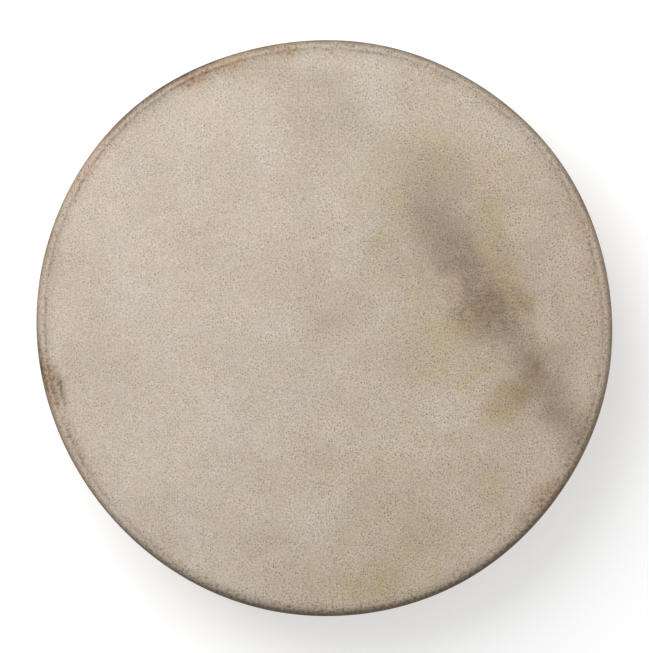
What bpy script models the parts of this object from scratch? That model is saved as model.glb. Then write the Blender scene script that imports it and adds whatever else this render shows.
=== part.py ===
"""A ceremonial frame drum: a rawhide head drawn over a bent wooden hoop and laced to a grip ring at the back.

Units are metres and +Z is up. The drum lies on its open back with the head facing up, and the origin is the
middle of its underside. Seen from above, +Y is the top of the drum.
"""

import math

import bmesh
import bpy
from mathutils import Matrix, Vector

# Drum body
DRUM_RADIUS = 0.203
DRUM_DEPTH = 0.070

# The hoop isn't quite round: each entry is a number of lobes, how far they stand out, and the direction
# of the first one in degrees.
HOOP_LOBES = (
    (2, 0.00105, -48.5),
    (3, 0.00079, 32.0),
    (4, 0.00018, -32.9),
    (5, 0.00015, -9.7),
    (6, 0.00013, 8.2),
    (7, 0.00020, -18.2),
    (8, 0.00014, -10.6),
)

# Rawhide head
HIDE_THICKNESS = 0.0016
SHOULDER_RADIUS = 0.0050
BACK_EDGE_RADIUS = 0.0035
CREASE_DEPTH = 0.0004
FLAP_RISE_RUN = 0.0090
SLIT_INSET = 0.0040
TAB_MARGIN = 0.0080
SCALLOP_DEPTH = 0.0060

# Wooden hoop
HOOP_THICKNESS = 0.0080
BEARING_BEVEL = 0.0030
BACK_CHAMFER = 0.0015

# Lacing and grip ring
LACE_WIDTH = 0.0045
LACE_THICKNESS = 0.0018
LACE_SLITS = 16
LEG_TURN_LENGTH = 0.0070
GRIP_RING_RADIUS = 0.0260
GRIP_SECTION_RADIUS = 0.0045

# Clearances
TOUCH_GAP = 0.0003
LACE_GAP = 0.00035
FLOOR_GAP = 0.0005

# Faceting
FACETS_PER_SLIT = 6
SHOULDER_STEPS = 3
BACK_EDGE_STEPS = 2
SLIT_TURN_STEPS = 2
GRIP_TURN_STEPS = 7
GRIP_FACETS = 40
GRIP_SECTION_FACETS = 8

# Radii and heights that follow from the sizes above
ROUND_FACETS = LACE_SLITS * FACETS_PER_SLIT
HOOP_RADIUS = DRUM_RADIUS - HIDE_THICKNESS - TOUCH_GAP
HOOP_BOTTOM = HIDE_THICKNESS + TOUCH_GAP
HOOP_TOP = DRUM_DEPTH - HIDE_THICKNESS - TOUCH_GAP
HOOP_INNER_RADIUS = HOOP_RADIUS - HOOP_THICKNESS
CREASE_RADIUS = HOOP_INNER_RADIUS + BEARING_BEVEL
BACK_SEAT_RADIUS = HOOP_INNER_RADIUS + BACK_CHAMFER
FLAP_LEVEL_RADIUS = BACK_SEAT_RADIUS - FLAP_RISE_RUN
SLIT_RADIUS = FLAP_LEVEL_RADIUS - SLIT_INSET
TAB_RADIUS = SLIT_RADIUS - TAB_MARGIN
FLAP_BOTTOM = FLOOR_GAP + LACE_THICKNESS + LACE_GAP
FLAP_TOP = FLAP_BOTTOM + HIDE_THICKNESS
LACE_TURN_RADIUS = LACE_THICKNESS / 2 + LACE_GAP
SLIT_LIP_RADIUS = SLIT_RADIUS - LACE_TURN_RADIUS
LOWER_LEG_HEIGHT = FLAP_BOTTOM - LACE_TURN_RADIUS
UPPER_LEG_HEIGHT = FLAP_TOP + LACE_TURN_RADIUS
GRIP_TURN_RADIUS = GRIP_SECTION_RADIUS + LACE_TURN_RADIUS
GRIP_HEIGHT = LOWER_LEG_HEIGHT + GRIP_TURN_RADIUS


def clear_scene():
    """Removes what the file opened with."""
    for found in list(bpy.data.objects):
        bpy.data.objects.remove(found)


def material(name, colour, roughness):
    """A plain finish with the part's own colour."""
    made = bpy.data.materials.new(name)
    made.use_nodes = True
    shader = made.node_tree.nodes["Principled BSDF"]
    shader.inputs["Base Color"].default_value = (*colour, 1.0)
    shader.inputs["Roughness"].default_value = roughness
    shader.inputs["Metallic"].default_value = 0.0
    return made


def out_of_round(angle):
    """How far the rim stands out from a true circle in this direction."""
    return sum(
        size * math.cos(lobes * (angle - math.radians(first)))
        for lobes, size, first in HOOP_LOBES
    )


def rim_point(radius, angle, height):
    """A point near the rim, which follows the hoop's true outline."""
    reach = radius + out_of_round(angle)
    return Vector((reach * math.cos(angle), reach * math.sin(angle), height))


def hub_point(radius, angle, height):
    """A point near the grip ring, which is a true circle."""
    return Vector((radius * math.cos(angle), radius * math.sin(angle), height))


def tangent(angle):
    """The horizontal direction square to a radius."""
    return Vector((-math.sin(angle), math.cos(angle), 0.0))


def arc(centre, radius, start, end, steps):
    """Points (radius, height) along an arc about a centre in the profile's plane, angles in degrees."""
    points = []
    for step in range(steps + 1):
        turn = math.radians(start + (end - start) * step / steps)
        points.append((centre[0] + radius * math.cos(turn), centre[1] + radius * math.sin(turn)))
    return points


def finished(name, mesh, finish, parent, smooth_angle=35.0):
    """Turns a bmesh into a named object with its finish, outward faces and soft shading."""
    bmesh.ops.recalc_face_normals(mesh, faces=mesh.faces)
    data = bpy.data.meshes.new(name)
    mesh.to_mesh(data)
    mesh.free()
    data.materials.append(finish)
    data.shade_smooth()
    data.set_sharp_from_angle(angle=math.radians(smooth_angle))
    made = bpy.data.objects.new(name, data)
    bpy.context.scene.collection.objects.link(made)
    made.parent = parent
    return made


def turned(profile, closed, steps):
    """A bmesh of a profile of (radius, height) points turned about the upright axis."""
    mesh = bmesh.new()
    corners = [mesh.verts.new((radius, 0.0, height)) for radius, height in profile]
    pairs = list(zip(corners, corners[1:]))
    if closed:
        pairs.append((corners[-1], corners[0]))
    lines = [mesh.edges.new(pair) for pair in pairs]
    bmesh.ops.spin(
        mesh,
        geom=corners + lines,
        cent=(0.0, 0.0, 0.0),
        axis=(0.0, 0.0, 1.0),
        dvec=(0.0, 0.0, 0.0),
        angle=math.tau,
        steps=steps,
        use_merge=True,
    )
    bmesh.ops.remove_doubles(mesh, verts=mesh.verts, dist=1e-6)
    return mesh


def scallop(angle):
    """How far the flap's edge draws back: nothing at a slit, all of it halfway between two."""
    return SCALLOP_DEPTH * math.sin(LACE_SLITS * angle / 2) ** 2


def head_profile():
    """The hide's section, from the middle of its face out over the hoop, under it and back inside."""
    shoulder = (DRUM_RADIUS - SHOULDER_RADIUS, DRUM_DEPTH - SHOULDER_RADIUS)
    back_edge = (DRUM_RADIUS - BACK_EDGE_RADIUS, BACK_EDGE_RADIUS)
    inner_shoulder = SHOULDER_RADIUS - HIDE_THICKNESS
    inner_back_edge = BACK_EDGE_RADIUS - HIDE_THICKNESS
    face = DRUM_DEPTH - CREASE_DEPTH
    outside = [(0.0, face), (CREASE_RADIUS - CREASE_DEPTH, face), (CREASE_RADIUS, DRUM_DEPTH)]
    outside += arc(shoulder, SHOULDER_RADIUS, 90.0, 0.0, SHOULDER_STEPS)
    outside += arc(back_edge, BACK_EDGE_RADIUS, 0.0, -90.0, BACK_EDGE_STEPS)
    flap = [
        (BACK_SEAT_RADIUS, 0.0),
        (FLAP_LEVEL_RADIUS, FLAP_BOTTOM),
        (TAB_RADIUS, FLAP_BOTTOM),
        (TAB_RADIUS, FLAP_TOP),
        (FLAP_LEVEL_RADIUS, FLAP_TOP),
        (BACK_SEAT_RADIUS, HIDE_THICKNESS),
    ]
    inside = arc(back_edge, inner_back_edge, -90.0, 0.0, BACK_EDGE_STEPS)
    inside += arc(shoulder, inner_shoulder, 0.0, 90.0, SHOULDER_STEPS)
    inside += [
        (CREASE_RADIUS, DRUM_DEPTH - HIDE_THICKNESS),
        (CREASE_RADIUS - CREASE_DEPTH, face - HIDE_THICKNESS),
        (0.0, face - HIDE_THICKNESS),
    ]
    return outside + flap + inside


def follow_outline(mesh):
    """Moves every point off the axis out to the hoop's true outline."""
    for corner in mesh.verts:
        radius = math.hypot(corner.co.x, corner.co.y)
        if radius > TOUCH_GAP:
            angle = math.atan2(corner.co.y, corner.co.x)
            corner.co = rim_point(radius, angle, corner.co.z)


def slit_cutters(parent):
    """Blocks that cut a lace slit through each tab of the flap."""
    half_width = LACE_WIDTH / 2 + LACE_GAP
    half_length = LACE_THICKNESS / 2 + LACE_GAP
    half_height = HIDE_THICKNESS * 1.5
    mesh = bmesh.new()
    for slit in range(LACE_SLITS):
        angle = math.tau * slit / LACE_SLITS
        middle = rim_point(SLIT_RADIUS, angle, (FLAP_BOTTOM + FLAP_TOP) / 2)
        size = Matrix.Diagonal((2 * half_length, 2 * half_width, 2 * half_height, 1.0))
        place = Matrix.Translation(middle) @ Matrix.Rotation(angle, 4, "Z") @ size
        bmesh.ops.create_cube(mesh, size=1.0, matrix=place)
    data = bpy.data.meshes.new("slit_cutters")
    mesh.to_mesh(data)
    mesh.free()
    cutters = bpy.data.objects.new("slit_cutters", data)
    bpy.context.scene.collection.objects.link(cutters)
    cutters.parent = parent
    cutters.hide_render = True
    cutters.display_type = "WIRE"
    return cutters


def make_head(parent, finish):
    """The rawhide: face, crease over the bearing edge, shoulder, side, and the slit flap under the hoop."""
    mesh = turned(head_profile(), closed=False, steps=ROUND_FACETS)
    for corner in mesh.verts:
        radius = math.hypot(corner.co.x, corner.co.y)
        on_flap_edge = corner.co.z < FLAP_TOP + TOUCH_GAP and radius < SLIT_RADIUS
        if on_flap_edge:
            angle = math.atan2(corner.co.y, corner.co.x)
            corner.co = hub_point(radius + scallop(angle), angle, corner.co.z)
    follow_outline(mesh)
    head = finished("drumhead", mesh, finish, parent)
    cut = head.modifiers.new("lace_slits", "BOOLEAN")
    cut.operation = "DIFFERENCE"
    cut.solver = "EXACT"
    cut.object = slit_cutters(parent)
    return head


def make_hoop(parent, finish):
    """The bent wooden hoop: rounded where the hide turns over it, bevelled away inside the bearing edge."""
    round_over = SHOULDER_RADIUS - HIDE_THICKNESS - TOUCH_GAP
    back_round = BACK_EDGE_RADIUS - HIDE_THICKNESS - TOUCH_GAP
    back_centre = (HOOP_RADIUS - back_round, HOOP_BOTTOM + back_round)
    front_centre = (HOOP_RADIUS - round_over, HOOP_TOP - round_over)
    profile = arc(back_centre, back_round, -90.0, 0.0, BACK_EDGE_STEPS)
    profile += arc(front_centre, round_over, 0.0, 90.0, SHOULDER_STEPS)
    profile += [
        (CREASE_RADIUS, HOOP_TOP),
        (HOOP_INNER_RADIUS, HOOP_TOP - BEARING_BEVEL),
        (HOOP_INNER_RADIUS, HOOP_BOTTOM + BACK_CHAMFER),
        (HOOP_INNER_RADIUS + BACK_CHAMFER, HOOP_BOTTOM),
    ]
    mesh = turned(profile, closed=True, steps=ROUND_FACETS)
    follow_outline(mesh)
    return finished("hoop", mesh, finish, parent)


def make_grip_ring(parent, finish):
    """The round wooden ring that the laces pull from all sides, held in the hand."""
    profile = arc((GRIP_RING_RADIUS, 0.0), GRIP_SECTION_RADIUS, 0.0, 360.0, GRIP_SECTION_FACETS)[:-1]
    ring = finished("grip_ring", turned(profile, closed=True, steps=GRIP_FACETS), finish, parent, 60.0)
    ring.location.z = GRIP_HEIGHT
    return ring


def slit_turn(angle):
    """The lace going down through a slit round the flap's lip: (centre, outward normal, width direction)."""
    lip_top = Vector((SLIT_LIP_RADIUS, FLAP_TOP))
    lip_bottom = Vector((SLIT_LIP_RADIUS, FLAP_BOTTOM))
    stations = []
    for lip, start, end in ((lip_top, 90.0, 0.0), (lip_bottom, 0.0, -90.0)):
        for step in range(SLIT_TURN_STEPS + 1):
            turn = math.radians(start + (end - start) * step / SLIT_TURN_STEPS)
            radius = lip.x + LACE_TURN_RADIUS * math.cos(turn)
            height = lip.y + LACE_TURN_RADIUS * math.sin(turn)
            normal = hub_point(math.cos(turn), angle, math.sin(turn))
            stations.append((rim_point(radius, angle, height), normal, tangent(angle)))
    return stations


def grip_turn(angle, leaving):
    """The lace passing under the grip ring, up its inside and out over the top, leaving at that slope."""
    stations = []
    for step in range(GRIP_TURN_STEPS + 1):
        turn = math.radians(-90.0) - (math.pi - leaving) * step / GRIP_TURN_STEPS
        radius = GRIP_RING_RADIUS + GRIP_TURN_RADIUS * math.cos(turn)
        height = GRIP_HEIGHT + GRIP_TURN_RADIUS * math.sin(turn)
        normal = hub_point(math.cos(turn), angle, math.sin(turn))
        stations.append((hub_point(radius, angle, height), normal, tangent(angle)))
    return stations


def leg_stations(start, end, outward):
    """Two stations on a straight leg, one near each end, square to its run, with its outer face that way."""
    run = (end - start).normalized()
    width = Vector(outward).cross(run).normalized()
    normal = run.cross(width)
    return [(start + run * LEG_TURN_LENGTH, normal, width), (end - run * LEG_TURN_LENGTH, normal, width)]


def lace_route():
    """Every station of the lace, once round the drum: through a slit, back under it, round the ring, on."""
    step = math.tau / LACE_SLITS
    drop = UPPER_LEG_HEIGHT - (GRIP_HEIGHT + GRIP_TURN_RADIUS)
    leaving = math.atan2(-drop, SLIT_LIP_RADIUS - GRIP_RING_RADIUS)
    route = []
    for slit in range(LACE_SLITS):
        here = slit_turn(step * slit)
        ring = grip_turn(step * (slit + 0.5), leaving)
        following = slit_turn(step * (slit + 1))
        route += here
        route += leg_stations(here[-1][0], ring[0][0], (0.0, 0.0, -1.0))
        route += ring
        route += leg_stations(ring[-1][0], following[0][0], (0.0, 0.0, 1.0))
    return route


def make_lacing(parent, finish):
    """One flat lace: a grid whose columns are the route's stations, rolled round the lace's four edges."""
    route = lace_route()
    edges = ((1, 1), (1, -1), (-1, -1), (-1, 1))
    mesh = bmesh.new()
    bmesh.ops.create_grid(mesh, x_segments=len(route), y_segments=len(edges), size=0.5)
    for corner in mesh.verts:
        station = round((corner.co.x + 0.5) * len(route)) % len(route)
        across, out = edges[round((corner.co.y + 0.5) * len(edges)) % len(edges)]
        centre, normal, width = route[station]
        corner.co = centre + width * (across * LACE_WIDTH / 2) + normal * (out * LACE_THICKNESS / 2)
    bmesh.ops.remove_doubles(mesh, verts=mesh.verts, dist=1e-6)
    return finished("lacing", mesh, finish, parent)


def main():
    """Builds the drum: head, hoop, grip ring and lacing, all held by one empty at the origin."""
    clear_scene()
    drum = bpy.data.objects.new("drum", None)
    bpy.context.scene.collection.objects.link(drum)
    rawhide = material("rawhide", (0.50, 0.42, 0.33), 0.6)
    lace_hide = material("lace_rawhide", (0.42, 0.31, 0.19), 0.55)
    ash = material("bent_wood", (0.46, 0.30, 0.16), 0.5)
    grip_wood = material("grip_wood", (0.24, 0.13, 0.06), 0.45)
    make_head(drum, rawhide)
    make_hoop(drum, ash)
    make_grip_ring(drum, grip_wood)
    make_lacing(drum, lace_hide)


main()
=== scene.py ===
"""Looks of a ceremonial frame drum: a stained rawhide head on a bent hoop, laced at the back to a grip ring.

The file is laid out as a Blender add-on and run as a script. Lengths are metres, unless a name or a comment
says millimetres, and angles are degrees where a person sets them. Seen from above, +Y is the top of the drum.
"""

import math
from collections import namedtuple

import bmesh
import bpy
from bpy.props import FloatProperty, FloatVectorProperty, IntProperty, PointerProperty
from bpy.types import Operator, Panel, PropertyGroup
from mathutils import Matrix, Vector, kdtree, noise


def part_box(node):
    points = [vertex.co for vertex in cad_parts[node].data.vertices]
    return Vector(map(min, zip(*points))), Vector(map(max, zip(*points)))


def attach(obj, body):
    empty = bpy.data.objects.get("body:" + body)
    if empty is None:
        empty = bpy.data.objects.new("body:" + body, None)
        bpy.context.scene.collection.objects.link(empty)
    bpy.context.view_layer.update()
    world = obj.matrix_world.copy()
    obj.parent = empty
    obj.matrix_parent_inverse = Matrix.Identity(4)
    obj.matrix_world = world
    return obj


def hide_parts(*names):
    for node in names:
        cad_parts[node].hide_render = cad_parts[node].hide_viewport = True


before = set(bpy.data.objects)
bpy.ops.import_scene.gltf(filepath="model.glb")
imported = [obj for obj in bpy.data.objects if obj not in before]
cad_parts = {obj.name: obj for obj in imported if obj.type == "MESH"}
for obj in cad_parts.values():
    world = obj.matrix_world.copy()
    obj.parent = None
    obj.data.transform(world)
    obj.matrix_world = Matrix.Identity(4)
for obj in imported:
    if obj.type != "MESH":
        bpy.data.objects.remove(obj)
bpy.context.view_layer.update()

bl_info = {
    "name": "Frame Drum",
    "version": (1, 0, 0),
    "blender": (4, 5, 0),
    "location": "3D View > Sidebar > Drum",
    "description": "Makes a rawhide frame drum with its hoop, lacing and grip ring",
    "category": "Add Mesh",
}

MM = 0.001

# The photograph's frame, and how the drum sits in it
PHOTO_WIDTH = 649
PHOTO_HEIGHT = 653
DRUM_RADIUS_IN_PHOTO = 288.1
DRUM_BELOW_MIDDLE_IN_PHOTO = 0.55

# Sizes read from the frame
HEAD_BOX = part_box("drumhead")
HOOP_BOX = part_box("hoop")
RING_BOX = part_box("grip_ring")
LACING_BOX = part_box("lacing")
TOUCH_GAP = 0.3 * MM
LACE_GAP = 0.35 * MM
DRUM_DEPTH = HEAD_BOX[1][2]
HIDE_THICKNESS = HOOP_BOX[0][2] - TOUCH_GAP
RING_SECTION = (RING_BOX[1][2] - RING_BOX[0][2]) / 2
RING_HEIGHT = (RING_BOX[1][2] + RING_BOX[0][2]) / 2
RING_RADIUS = RING_BOX[1][0] - RING_SECTION

# Sizes that the frame's boxes don't show, as the solids have them
DRUM_RADIUS = 0.203
HOOP_THICKNESS = 8.0 * MM
BEARING_BEVEL = 3.0 * MM
BACK_CHAMFER = 1.5 * MM
SHOULDER_RADIUS = 5.0 * MM
BACK_EDGE_RADIUS = 3.5 * MM
CREASE_STEP = 0.4 * MM
FLAP_RISE_RUN = 9.0 * MM
SLIT_INSET = 4.0 * MM
TAB_MARGIN = 8.0 * MM
SCALLOP_DEPTH = 6.0 * MM
LACE_WIDTH = 4.5 * MM
LACE_THICKNESS = 1.8 * MM
LACE_SLITS = 16

# Where the pieces meet
HOOP_RADIUS = DRUM_RADIUS - HIDE_THICKNESS - TOUCH_GAP
HOOP_BOTTOM = HOOP_BOX[0][2]
HOOP_TOP = HOOP_BOX[1][2]
HOOP_INNER_RADIUS = HOOP_RADIUS - HOOP_THICKNESS
CREASE_RADIUS = HOOP_INNER_RADIUS + BEARING_BEVEL
BACK_SEAT_RADIUS = HOOP_INNER_RADIUS + BACK_CHAMFER
FLAP_LEVEL_RADIUS = BACK_SEAT_RADIUS - FLAP_RISE_RUN
SLIT_RADIUS = FLAP_LEVEL_RADIUS - SLIT_INSET
TAB_RADIUS = SLIT_RADIUS - TAB_MARGIN
FLAP_BOTTOM = LACING_BOX[0][2] + LACE_THICKNESS + LACE_GAP
FLAP_TOP = FLAP_BOTTOM + HIDE_THICKNESS
LACE_TURN_RADIUS = LACE_THICKNESS / 2 + LACE_GAP
UPPER_LEG_HEIGHT = FLAP_TOP + LACE_TURN_RADIUS
RING_TURN_RADIUS = RING_SECTION + LACE_TURN_RADIUS

# The hoop isn't quite round: lobes, how far they stand out in mm, and the first one's direction in degrees
HOOP_LOBES = (
    (2, 1.05, -48.5),
    (3, 0.79, 32.0),
    (4, 0.18, -32.9),
    (5, 0.15, -9.7),
    (6, 0.13, 8.2),
    (7, 0.20, -18.2),
    (8, 0.14, -10.6),
)
TRUE_ROUND_WITHIN = 0.17

# Fineness of the meshes
HIDE_STEPS = 24 * LACE_SLITS
FACE_RING_WIDTH = 7.0 * MM
FLAP_RING_WIDTH = 1.0 * MM
WOOD_STEPS = 12 * LACE_SLITS


def tone(red, green, blue):
    """A colour as a picture shows it, 0 to 255, turned into the shader's linear values."""
    return tuple(
        level / 12.92 if level <= 0.04045 else ((level + 0.055) / 1.055) ** 2.4
        for level in (red / 255, green / 255, blue / 255)
    )


# A soft mark on the hide: middle, half length and half width in mm, turn in degrees, strength and colour.
# Places are measured on the flat hide from the drum's middle, +Y up.
Mark = namedtuple("Mark", "x y long wide turn strength colour")


def marks(*rows):
    """Marks whose colours are given as a picture shows them."""
    return [Mark(*row[:-1], tone(*row[-1])) for row in rows]


# Broad marks: the pale ones at the upper left and the left, and the tan ones at the bottom, the lower right
# and the right, are partly painted light (the face lighter towards the key light and darker away from it) and
# partly the hide's own tone
BROAD_MARKS = marks(
    (-98, 80, 170, 120, 20, 0.55, (206, 193, 177)),
    (-110, -60, 120, 130, 0, 0.50, (205, 193, 177)),
    (-90, 108, 80, 14, 4, 0.24, (190, 181, 163)),
    (-20, -170, 150, 60, 0, 0.40, (186, 173, 155)),
    (110, -125, 110, 85, 40, 0.40, (186, 171, 152)),
    (165, 0, 70, 130, 0, 0.40, (183, 167, 148)),
    (75, 70, 95, 120, 14, 0.50, (181, 166, 144)),
    (112, 30, 150, 62, -60, 0.54, (165, 149, 128)),
    (-66, -8, 120, 80, 0, 0.45, (204, 192, 177)),
    (98, 42, 128, 64, -56, 0.32, (169, 148, 119)),
    (84, -122, 118, 80, 35, 0.24, (175, 156, 130)),
)

OLIVE_MARKS = marks(
    (96, 120, 66, 28, -14, 0.40, (186, 169, 133)),
    (44, 104, 44, 50, 10, 0.42, (184, 170, 138)),
    (37, 60, 18, 14, 30, 0.50, (172, 158, 122)),
    (121, 80, 32, 18, -50, 0.45, (185, 168, 132)),
    (124, 40, 38, 22, -62, 0.56, (173, 153, 121)),
    (133, 18, 25, 20, 0, 0.60, (160, 137, 104)),
    (80, -12, 60, 36, -18, 0.46, (182, 165, 130)),
    (100, 0, 28, 20, 20, 0.40, (176, 157, 120)),
    (126, -58, 34, 20, 40, 0.62, (172, 149, 110)),
    (36, -180, 58, 24, 8, 0.60, (170, 152, 114)),
    (68, -150, 46, 20, 24, 0.40, (178, 162, 130)),
    (16, -140, 30, 24, 0, 0.25, (182, 168, 140)),
    (28, 8, 20, 14, 40, 0.30, (182, 165, 138)),
)

PALE_MARKS = marks(
    (140, 74, 26, 24, 20, 0.55, (203, 186, 168)),
    (107, 127, 18, 12, -20, 0.40, (200, 184, 165)),
    (156, 5, 17, 26, -10, 0.55, (197, 184, 165)),
    (161, -15, 22, 24, 10, 0.50, (196, 182, 163)),
    (66, 30, 16, 30, 24, 0.30, (196, 180, 160)),
    (60, -60, 30, 26, 0, 0.28, (194, 179, 158)),
    (-166, 96, 16, 44, -30, 0.40, (207, 189, 171)),
    (-60, 150, 60, 24, 12, 0.35, (208, 195, 176)),
)

DARK_MARKS = marks(
    (75, 93, 48, 32, 82, 0.48, (160, 149, 133)),
    (84, 62, 50, 28, -62, 0.61, (144, 129, 114)),
    (98, 43, 34, 22, -58, 0.58, (141, 124, 109)),
    (108, 24, 32, 20, -60, 0.48, (142, 124, 107)),
    (115, 12, 42, 30, -28, 0.66, (136, 116, 97)),
    (118, 9, 24, 17, -20, 0.40, (126, 106, 86)),
    (117, -3, 26, 13, 10, 0.40, (142, 127, 104)),
    (127, -4, 40, 19, -46, 0.34, (146, 131, 115)),
    (136, -10, 32, 19, -42, 0.40, (152, 139, 124)),
    (141, -24, 28, 18, -60, 0.46, (151, 138, 122)),
    (149, -33, 38, 24, 38, 0.70, (134, 114, 90)),
    (138, -43, 24, 16, 42, 0.46, (158, 130, 100)),
    (161, -56, 36, 21, -58, 0.62, (146, 127, 112)),
    (173, -69, 28, 18, -48, 0.46, (150, 130, 115)),
    (6, 2, 34, 17, 32, 0.42, (170, 150, 129)),
    (15, 147, 30, 26, -40, 0.36, (168, 156, 142)),
    (1, 172, 22, 15, -30, 0.36, (170, 158, 144)),
    (34, 128, 40, 15, -40, 0.22, (174, 161, 144)),
)

RIM_MARKS = marks(
    (-194.5, -38.0, 31, 9.0, 102, 0.95, (140, 100, 70)),
    (-201.5, -30.0, 40, 7.5, 98, 0.95, (74, 57, 42)),
    (-186.0, -42.0, 24, 4.5, 103, 0.60, (106, 82, 62)),
    (-92.0, 175.0, 27, 10.0, 28, 0.90, (158, 114, 86)),
    (-96.0, 179.2, 46, 5.5, 28, 1.00, (64, 53, 43)),
    (-67.6, 185.0, 17, 8.0, 20, 0.70, (186, 144, 108)),
    (-72.5, 180.5, 30, 11.0, 22, 0.50, (166, 146, 122)),
    (-122.0, 155.0, 40, 11.0, 38, 0.30, (156, 140, 117)),
    (-121.0, 162.0, 42, 4.6, 37, 0.85, (70, 59, 48)),
    (-148.0, 137.8, 46, 4.2, 47, 0.75, (82, 70, 57)),
    (-27.5, 195.5, 20, 8.0, 8, 0.60, (170, 132, 98)),
    (-167.0, 108.5, 60, 11.0, 56, 0.60, (196, 165, 146)),
    (-195.0, 12.0, 11, 46.0, 0, 0.55, (198, 174, 154)),
    (187.0, 47.0, 60, 15.0, -76, 0.60, (182, 154, 134)),
    (157.0, 110.5, 42, 7.0, -55, 0.20, (178, 151, 128)),
    (182.0, -76.0, 52, 20.0, 66, 0.50, (146, 124, 100)),
    (150.0, -124.0, 34, 13.0, 50, 0.50, (150, 110, 84)),
    (-180.0, -80.0, 60, 10.0, -66, 0.45, (170, 150, 132)),
)

# The long smear's middle, where fine streaks run through it
SMEAR = Mark(114, 16, 66, 42, -45, 1.0, None)

# Sizes of the patterns on the hide
BROAD_PATCH = 55 * MM
SMALL_PATCH = 14 * MM
BROKEN_PATCH = 5 * MM
RAGGED_PATCH = 18 * MM
RIM_PATCH = 12 * MM
WORN_PATCH = 2.4 * MM
PULL_PATCH = 9 * MM
STREAK_WIDTH = 1.3 * MM
FIBRE_WIDTH = 1.6 * MM
PEBBLE = 1.6 * MM
GRAIN = 1.1 * MM


def out_of_round(angle):
    """How far the rim stands out from a true circle in this direction."""
    return MM * sum(
        size * math.cos(lobes * (angle - math.radians(first)))
        for lobes, size, first in HOOP_LOBES
    )


def rim_point(radius, angle, height):
    """A point at a true circle's radius, moved out to the hoop's own outline where it lies near the rim."""
    reach = radius + out_of_round(angle) * min(1.0, radius / TRUE_ROUND_WITHIN)
    return Vector((reach * math.cos(angle), reach * math.sin(angle), height))


def hub_point(radius, angle, height):
    """A point near the grip ring, which is a true circle."""
    return Vector((radius * math.cos(angle), radius * math.sin(angle), height))


def tangent(angle):
    """The horizontal direction square to a radius."""
    return Vector((-math.sin(angle), math.cos(angle), 0.0))


def smoothstep(low, high, value):
    """0 below low, 1 above high and a soft change between."""
    share = min(1.0, max(0.0, (value - low) / (high - low)))
    return share * share * (3.0 - 2.0 * share)


def wander(angle, bumps, seed, depth=2):
    """A smooth uneven number from about -1 to 1 that comes back to itself after a full turn."""
    around = Vector((math.cos(angle), math.sin(angle), 0.0)) * (bumps / math.tau)
    return noise.fractal(around + Vector((0.0, 0.0, seed)), 1.0, 2.0, depth) * 1.6


def arc(centre, radius, start, end, steps):
    """Points (radius, height) along an arc in the profile's plane, angles in degrees, both ends included."""
    points = []
    for step in range(steps + 1):
        turn = math.radians(start + (end - start) * step / steps)
        points.append((centre[0] + radius * math.cos(turn), centre[1] + radius * math.sin(turn)))
    return points


def line(start, end, steps):
    """Points along a straight stretch of a profile, without its end."""
    return [
        (start[0] + (end[0] - start[0]) * step / steps, start[1] + (end[1] - start[1]) * step / steps)
        for step in range(steps)
    ]


def turned(profile, closed, steps):
    """A bmesh of a profile of (radius, height) points turned about the upright axis."""
    mesh = bmesh.new()
    corners = [mesh.verts.new((radius, 0.0, height)) for radius, height in profile]
    pairs = list(zip(corners, corners[1:]))
    if closed:
        pairs.append((corners[-1], corners[0]))
    lines = [mesh.edges.new(pair) for pair in pairs]
    bmesh.ops.spin(
        mesh,
        geom=corners + lines,
        cent=(0.0, 0.0, 0.0),
        axis=(0.0, 0.0, 1.0),
        dvec=(0.0, 0.0, 0.0),
        angle=math.tau,
        steps=steps,
        use_merge=True,
    )
    bmesh.ops.remove_doubles(mesh, verts=mesh.verts, dist=1e-6)
    return mesh


def finished(name, mesh, finish, nodes, smooth_angle=40.0):
    """Turns a bmesh into a piece that rides on the drum, stands for those nodes and has its finish."""
    bmesh.ops.recalc_face_normals(mesh, faces=mesh.faces)
    data = bpy.data.meshes.new(name)
    mesh.to_mesh(data)
    mesh.free()
    data.materials.append(finish)
    data.shade_smooth()
    data.set_sharp_from_angle(angle=math.radians(smooth_angle))
    piece = bpy.data.objects.new(name, data)
    bpy.context.scene.collection.objects.link(piece)
    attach(piece, "root")
    if nodes:
        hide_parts(*nodes)
    return piece


# Materials


class Signal:
    """A value that changes over a surface. Sums, products and powers of it add Math nodes to its material."""

    def __init__(self, finish, socket):
        self.finish = finish
        self.socket = socket

    def math(self, operation, *values):
        """The Math node of that operation on these values."""
        return self.finish.add("ShaderNodeMath", {"operation": operation}, dict(enumerate(values)))

    def __add__(self, other):
        return self.math("ADD", self, other)

    def __sub__(self, other):
        return self.math("SUBTRACT", self, other)

    def __rsub__(self, other):
        return self.math("SUBTRACT", other, self)

    def __mul__(self, other):
        return self.math("MULTIPLY", self, other)

    def __truediv__(self, other):
        return self.math("DIVIDE", self, other)

    def __abs__(self):
        return self.math("ABSOLUTE", self)

    __radd__ = __add__
    __rmul__ = __mul__


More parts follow.
